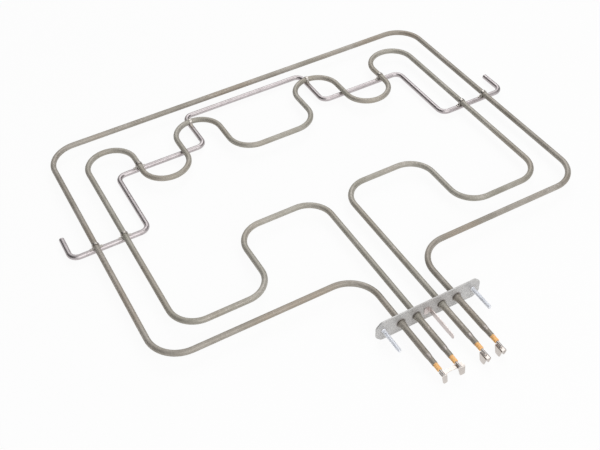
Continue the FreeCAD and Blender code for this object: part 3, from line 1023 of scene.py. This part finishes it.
# Cold ends, studs and sheet


@dataclass
class EndSeal(Piece):
    """The silicone seal on a tube's mouth, rounded at both ends and slightly hollow between them."""

    number: int
    x: float
    material: bpy.types.Material
    bore: float = 1.52
    radius: float = 2.5
    start: float = -57.4
    length: float = 7.7
    edge: float = 0.35
    edge_cut: float = 0.1
    waist: float = 0.06
    sides: int = 40

    def build(self) -> Workpiece:
        """Turn the seal.

        Returns:
            The seal.
        """
        work = Workpiece()
        far = self.start - self.length
        cut_radius = self.radius - self.edge_cut
        profile = [(self.bore, self.start), (self.radius - self.edge, self.start),
                   (cut_radius, self.start - self.edge_cut), (self.radius, self.start - self.edge),
                   (self.radius - self.waist, (self.start + far) / 2.0), (self.radius, far + self.edge),
                   (cut_radius, far + self.edge_cut), (self.radius - self.edge, far), (self.bore, far)]
        work.lathe(profile, self.x, self.sides)
        return work

    def dress(self, work: Workpiece) -> bpy.types.Object:
        """Give the seal its silicone."""
        return work.finish(f"end_seal_{self.number}", Slot.SEAL, self.material)


@dataclass
class TerminalPin(Piece):
    """The pin that runs from inside the cold end out to its terminal.

    Its tip gives the distance inside the pin's radius and the distance before its end of each ring.
    """

    number: int
    x: float
    material: bpy.types.Material
    radius: float = 1.5
    inner_end: float = -27.4
    outer_end: float = -72.2
    flat_start: float = -66.2
    flat_step: float = 0.05
    flat_level: float = -1.2
    tip: tuple[Point, ...] = ((0.0, 0.45), (0.12, 0.16), (0.42, 0.0))
    sides: int = 48

    def build(self) -> Workpiece:
        """Turn the pin and flatten it where the terminal is welded.

        Returns:
            The pin.
        """
        work = Workpiece()
        profile = [(0.0, self.inner_end), (self.radius, self.inner_end), (self.radius, self.flat_start),
                   (self.radius, self.flat_start - self.flat_step)]
        profile += [(self.radius - inset, self.outer_end + before) for inset, before in self.tip]
        profile.append((0.0, self.outer_end))
        work.lathe(profile, self.x, self.sides)
        for point in work.bm.verts:
            if point.co.y < self.flat_start - TOLERANCE and point.co.z < self.flat_level:
                point.co.z = self.flat_level
        bmesh.ops.dissolve_degenerate(work.bm, dist=FINE_TOLERANCE, edges=work.bm.edges)
        return work

    def dress(self, work: Workpiece) -> bpy.types.Object:
        """Give the pin its bare steel."""
        return work.finish(f"terminal_pin_{self.number}", Slot.PIN, self.material)


@dataclass
class MountingStud(Piece):
    """A threaded stud with a small weld at its foot.

    The thread's flats are given as shares of a pitch, and each step of the tip as how far it runs on
    and how much it narrows.
    """

    side: str
    x: float
    material: bpy.types.Material
    radius: float = 2.0
    root_radius: float = 1.62
    pitch: float = 0.7
    root_end: float = 0.14
    crest_start: float = 0.46
    crest_end: float = 0.62
    length: float = 29.0
    tip: float = 0.9
    tip_steps: tuple[Point, ...] = ((0.55, 0.86), (0.35, 0.72))
    weld_radius: float = 2.6
    weld_height: float = 0.7
    weld_rounding: float = 0.12
    weld_lip: float = 0.1
    sides: int = 28
    weld_sides: int = 32

    def build(self) -> Workpiece:
        """Cut the thread to length, point it, and set the weld round its foot.

        Returns:
            The stud.
        """
        work = Workpiece()
        self.thread(work.bm)
        self.trim(work.bm, -self.weld_height / 2.0, 1.0)
        self.trim(work.bm, self.tip - self.length, -1.0)
        self.point(work.bm)
        weld = self.weld().to_mesh("weld")
        work.bm.from_mesh(weld)
        bpy.data.meshes.remove(weld)
        return work

    def thread(self, bm: bmesh.types.BMesh) -> None:
        """Draw the thread by one turn of a comb that climbs a pitch.

        Args:
            bm: the bmesh that takes the thread.
        """
        form = ((0.0, self.root_radius), (self.root_end, self.root_radius),
                (self.crest_start, self.radius), (self.crest_end, self.radius))
        comb = []
        for turn in range(-1, math.ceil(self.length / self.pitch) + 1):
            for share, radius in form:
                comb.append(bm.verts.new((self.x + radius, -self.pitch * (turn + share), 0.0)))
        edges = [bm.edges.new(pair) for pair in zip(comb, comb[1:])]
        climb = Vector((0.0, -self.pitch / self.sides, 0.0))
        bmesh.ops.spin(bm, geom=comb + edges, cent=(self.x, 0.0, 0.0), axis=INTO_OVEN, dvec=climb,
                       angle=FULL_TURN, steps=self.sides, use_merge=False)
        bmesh.ops.remove_doubles(bm, verts=bm.verts, dist=TOLERANCE)

    def trim(self, bm: bmesh.types.BMesh, y: float, way: float) -> None:
        """Cut the thread square at a height and take off what lies beyond.

        Args:
            bm: the thread.
            y: where to cut.
            way: 1 to take off what is above, -1 what is below.
        """
        everything = bm.verts[:] + bm.edges[:] + bm.faces[:]
        bmesh.ops.bisect_plane(bm, geom=everything, dist=FINE_TOLERANCE, plane_co=(0.0, y, 0.0),
                               plane_no=(0.0, way, 0.0), clear_outer=True)
        open_edges = [edge for edge in bm.edges if edge.is_boundary]
        rim = [edge for edge in open_edges if self.lies_at(edge.verts, y)]
        bmesh.ops.edgeloop_fill(bm, edges=rim)

    def point(self, bm: bmesh.types.BMesh) -> None:
        """Draw the end face out into a short chamfered tip.

        Args:
            bm: the thread, cut square.
        """
        y = self.tip - self.length
        end = [face for face in bm.faces if self.lies_at(face.verts, y)]
        centre = Matrix.Translation((-self.x, -y, 0.0))
        for drop, narrowing in self.tip_steps:
            end = bmesh.ops.extrude_discrete_faces(bm, faces=end)["faces"]
            points = list({point for face in end for point in face.verts})
            bmesh.ops.translate(bm, vec=(0.0, -drop, 0.0), verts=points)
            bmesh.ops.scale(bm, vec=(narrowing, 1.0, narrowing), space=centre, verts=points)

    @staticmethod
    def lies_at(points: Sequence[bmesh.types.BMVert], y: float) -> bool:
        """Tell whether all of the points lie at a height of the stud."""
        return all(abs(point.co.y - y) < TOLERANCE for point in points)

    def weld(self) -> Workpiece:
        """Turn the ring of weld round the stud's foot.

        Returns:
            The weld.
        """
        weld = Workpiece()
        shoulder = (self.weld_radius - self.weld_rounding, -self.weld_height / 2.0)
        profile = [(0.0, 0.0), (self.weld_radius, 0.0), shoulder,
                   (self.radius + self.weld_lip, -self.weld_height), (0.0, -self.weld_height)]
        weld.lathe(profile, self.x, self.weld_sides)
        return weld

    def dress(self, work: Workpiece) -> bpy.types.Object:
        """Give the stud its zinc."""
        return work.finish(f"mounting_stud_{self.side}", Slot.STUD, self.material)


@dataclass
class SheetPiece(Piece):
    """A piece of plate, sheet or strip that keeps the CAD node's form, with its edges broken."""

    name: str
    slot: Slot
    material: bpy.types.Material
    edge: float = 0.12

    def build(self) -> Workpiece:
        """Join the node's faces and soften the edges.

        Returns:
            The piece.
        """
        work = Workpiece()
        work.copy_node(self.name)
        work.soften(self.edge)
        return work

    def dress(self, work: Workpiece) -> bpy.types.Object:
        """Give the piece its metal."""
        return work.finish(self.name, self.slot, self.material, turn_out=False, flat_faces=True)


# Studio and camera


@dataclass(frozen=True)
class SoftBox:
    """A square lamp that shines at the element: place and size in metres, power in watts."""

    name: str
    place: Place
    size: float
    power: float


@dataclass
class Studio:
    """A white table under soft light, and the camera at the photograph's place, all in metres.

    The surroundings fade by the height of a direction, or by how far it points to the right.
    """

    middle: Place = (0.0, 0.2, 0.0)
    floor_level: float = -0.0128
    floor_size: float = 120.0
    floor_colour: Colour = (0.90, 0.90, 0.90)
    floor_change: float = 0.99
    floor_clouds: Noise = Noise(3.0, 2.0)
    floor_glow: float = 0.92
    lamps: tuple[SoftBox, ...] = (
        SoftBox("back", (0.68, 0.98, 1.15), 1.0, 4.5), SoftBox("front", (-0.14, -1.11, 1.07), 1.8, 14.0))
    ceiling: Fade = Fade(-0.05, 0.75, 0.5, 1.1)
    left_side: Fade = Fade(-0.45, 0.1, 0.08, 1.0)
    right_side: Fade = Fade(0.4, 0.75, 1.0, 0.15)
    wall: Fade = Fade(0.07, 0.12, 1.0, 0.0)
    ground: Fade = Fade(-0.03, -0.01)
    camera_place: Place = (-0.3608, -0.4548, 0.6932)
    camera_axes: tuple[Place, Place, Place] = (
        (0.876, -0.4805, -0.0409), (0.3655, 0.6061, 0.7065), (-0.3147, -0.6338, 0.7066))
    lens: float = 54.80
    sensor_width: float = 36.0

    def build(self) -> None:
        """Set up table, lights, surroundings and camera."""
        self.table()
        self.lights()
        self.surroundings()
        self.camera()
        bpy.context.scene.view_settings.view_transform = "Standard"

    def table(self) -> None:
        """Lay a pale table that looks white and keeps a soft shadow."""
        work = Workpiece()
        x, y, _ = self.middle
        bmesh.ops.create_grid(work.bm, x_segments=1, y_segments=1, size=self.floor_size / 2.0)
        bmesh.ops.translate(work.bm, vec=(x, y, self.floor_level), verts=work.bm.verts)
        mesh = work.to_mesh("table")
        mesh.materials.append(self.table_white())
        put_in_scene("table", mesh)

    def table_white(self) -> bpy.types.Material:
        """Make the table's white: matte under the lamps, and glowing to the camera and to reflections.

        Returns:
            The material.
        """
        white = bpy.data.materials.new("table_white")
        white.cycles.emission_sampling = "NONE"
        bench = ShaderBench(white)
        darker = tuple(value * self.floor_change for value in self.floor_colour)
        colour = bench.blend(bench.noise(self.floor_clouds), self.floor_colour, darker)
        matte = bench.node("ShaderNodeBsdfDiffuse", inputs={"Color": colour})
        glow = bench.node("ShaderNodeEmission", inputs={"Color": WHITE, "Strength": 1.0})
        kinds = ("Is Camera Ray", "Is Glossy Ray", "Is Transmission Ray")
        direct, glossy, through = (bench.node("ShaderNodeLightPath", output=kind) for kind in kinds)
        seen = direct.larger(glossy).larger(through)
        bench.end(bench.node("ShaderNodeMixShader", inputs={0: seen * self.floor_glow, 1: matte, 2: glow}))
        return white

    def lights(self) -> None:
        """Hang the soft boxes in front and behind, with none at the sides."""
        goal = Vector(self.middle)
        for box in self.lamps:
            lamp = bpy.data.lights.new(box.name, "AREA")
            lamp.shape = "SQUARE"
            lamp.size = box.size
            lamp.energy = box.power
            light = put_in_scene(box.name, lamp)
            light.location = box.place
            light.rotation_euler = (goal - Vector(box.place)).to_track_quat("-Z", "Y").to_euler()

    def surroundings(self) -> None:
        """Put up a white wall low down all round, a bright ceiling, and dim sides between them."""
        room = bpy.data.worlds.new("room")
        bpy.context.scene.world = room
        bench = ShaderBench(room, "Generated")
        height, side = bench.axis("Z"), bench.axis("X")
        sides = bench.fade(side, self.left_side) * bench.fade(side, self.right_side)
        above = bench.fade(height, self.ceiling) * sides
        glow = bench.fade(height, self.wall).larger(above) * bench.fade(height, self.ground)
        sky = bench.node("ShaderNodeBackground", inputs={"Color": WHITE, "Strength": glow})
        bench.end(sky, "ShaderNodeOutputWorld")

    def camera(self) -> None:
        """Set up the camera where the photograph was taken from."""
        lens = bpy.data.cameras.new("camera")
        lens.sensor_width = self.sensor_width
        lens.sensor_fit = "HORIZONTAL"
        lens.lens = self.lens
        camera = put_in_scene("camera", lens)
        turn = Matrix(self.camera_axes).transposed().to_4x4()
        camera.matrix_world = Matrix.Translation(self.camera_place) @ turn
        bpy.context.scene.camera = camera


# The whole element


@dataclass
class GrillElement:
    """Every piece of the element, in the order in which it is put together."""

    layout: Layout = Layout()
    stud_x: float = 52.1
    plate_edge: float = 0.22
    clip_edge: float = 0.15
    outer_finish: SheathFinish = SheathFinish(
        "outer_sheath", light=(0.43, 0.398, 0.355), deep=(0.315, 0.287, 0.245),
        brown=Layer((0.36, 0.29, 0.22), 0.6))
    inner_finish: SheathFinish = SheathFinish(
        "inner_sheath", light=(0.46, 0.436, 0.388), deep=(0.35, 0.33, 0.28),
        brown=Layer((0.40, 0.345, 0.285), 0.6))
    wire_finish: BrightFinish = BrightFinish(
        "drawn_wire", light=(0.53, 0.49, 0.495), dark=(0.46, 0.42, 0.425), stain=(0.38, 0.34, 0.345),
        rough=0.36, fineness=400.0)
    clip_finish: BrightFinish = BrightFinish(
        "strip_steel", light=(0.58, 0.55, 0.52), dark=(0.42, 0.39, 0.36), stain=(0.36, 0.32, 0.29),
        rough=0.30)
    terminal_finish: BrightFinish = BrightFinish(
        "nickel_sheet", light=(0.65, 0.605, 0.57), dark=(0.57, 0.525, 0.49), stain=(0.49, 0.435, 0.41),
        rough=0.30, fineness=500.0)
    earth_finish: BrightFinish = BrightFinish(
        "earth_sheet", light=(0.66, 0.60, 0.58), dark=(0.55, 0.485, 0.47), stain=(0.42, 0.35, 0.33),
        rough=0.34)
    stud_finish: BrightFinish = BrightFinish(
        "zinc_stud", light=(0.87, 0.89, 0.93), dark=(0.80, 0.82, 0.87), stain=(0.72, 0.74, 0.77),
        rough=0.46, fineness=400.0, metal=0.45)
    pin_finish: BrightFinish = BrightFinish(
        "pin_steel", light=(0.70, 0.66, 0.63), dark=(0.58, 0.54, 0.51), stain=(0.42, 0.37, 0.33),
        rough=0.34, metal=0.85)

    def pieces(self) -> list[Piece]:
        """Every piece of the element, ready to be built and dressed."""
        return [*self.circuits(), self.plate(), *self.terminals(), *self.studs(), *self.cold_ends(),
                *self.clips()]

    def circuits(self) -> list[Piece]:
        """Both heater tubes, and the wire that carries them.

        Returns:
            The three pieces.
        """
        plan = self.layout
        return [
            HeaterTube("outer_heater_tube", Slot.OUTER, self.outer_finish, plan.outer_leg_x,
                       plan.outer_corners()),
            HeaterTube("inner_heater_tube", Slot.INNER, self.inner_finish, plan.inner_leg_x,
                       plan.inner_corners()),
            SupportWire(self.wire_finish, plan),
        ]

    def plate(self) -> Piece:
        """The flange plate."""
        finish = PlateFinish("galvanised_plate", self.layout.legs, (-self.stud_x, self.stud_x))
        return SheetPiece("flange_plate", Slot.PLATE, finish.material(), self.plate_edge)

    def terminals(self) -> list[Piece]:
        """The earth tab, the link on the left pair of pins, and a spade on each of the right pair.

        Returns:
            The four pieces.
        """
        metal = self.terminal_finish.material()
        names = ("link_terminal", "spade_terminal_3", "spade_terminal_4")
        sheets = [SheetPiece(name, Slot.TERMINAL, metal) for name in names]
        return [SheetPiece("earth_tab", Slot.EARTH, self.earth_finish.material()), *sheets]

    def studs(self) -> list[Piece]:
        """The two studs that hold the flange."""
        zinc = self.stud_finish.material()
        return [MountingStud("left", -self.stud_x, zinc), MountingStud("right", self.stud_x, zinc)]

    def cold_ends(self) -> list[Piece]:
        """A pin and its seal in each cold end.

        Returns:
            The eight pieces.
        """
        steel, silicone = self.pin_finish.material(), SealFinish("silicone_seal").material()
        pieces: list[Piece] = []
        for number, x in enumerate(self.layout.legs, 1):
            pieces += [TerminalPin(number, x, steel), EndSeal(number, x, silicone)]
        return pieces

    def clips(self) -> list[Piece]:
        """The straps that hold the tubes on the wire, four on either side.

        Returns:
            The eight pieces.
        """
        strip = self.clip_finish.material()
        names = [f"clip_{place}_{side}" for place in ("outer", "inner", "wave", "crest")
                 for side in ("left", "right")]
        return [SheetPiece(name, Slot.CLIP, strip, self.clip_edge) for name in names]


def main() -> None:
    """Build and dress every piece, and set up the studio."""
    logging.basicConfig(level=logging.INFO, format="%(message)s")
    for part in GrillElement().pieces():
        piece = part.dress(part.build())
        LOG.info("%s: %d faces", piece.name, len(piece.data.polygons))
    Studio().build()


if __name__ == "__main__":
    main()
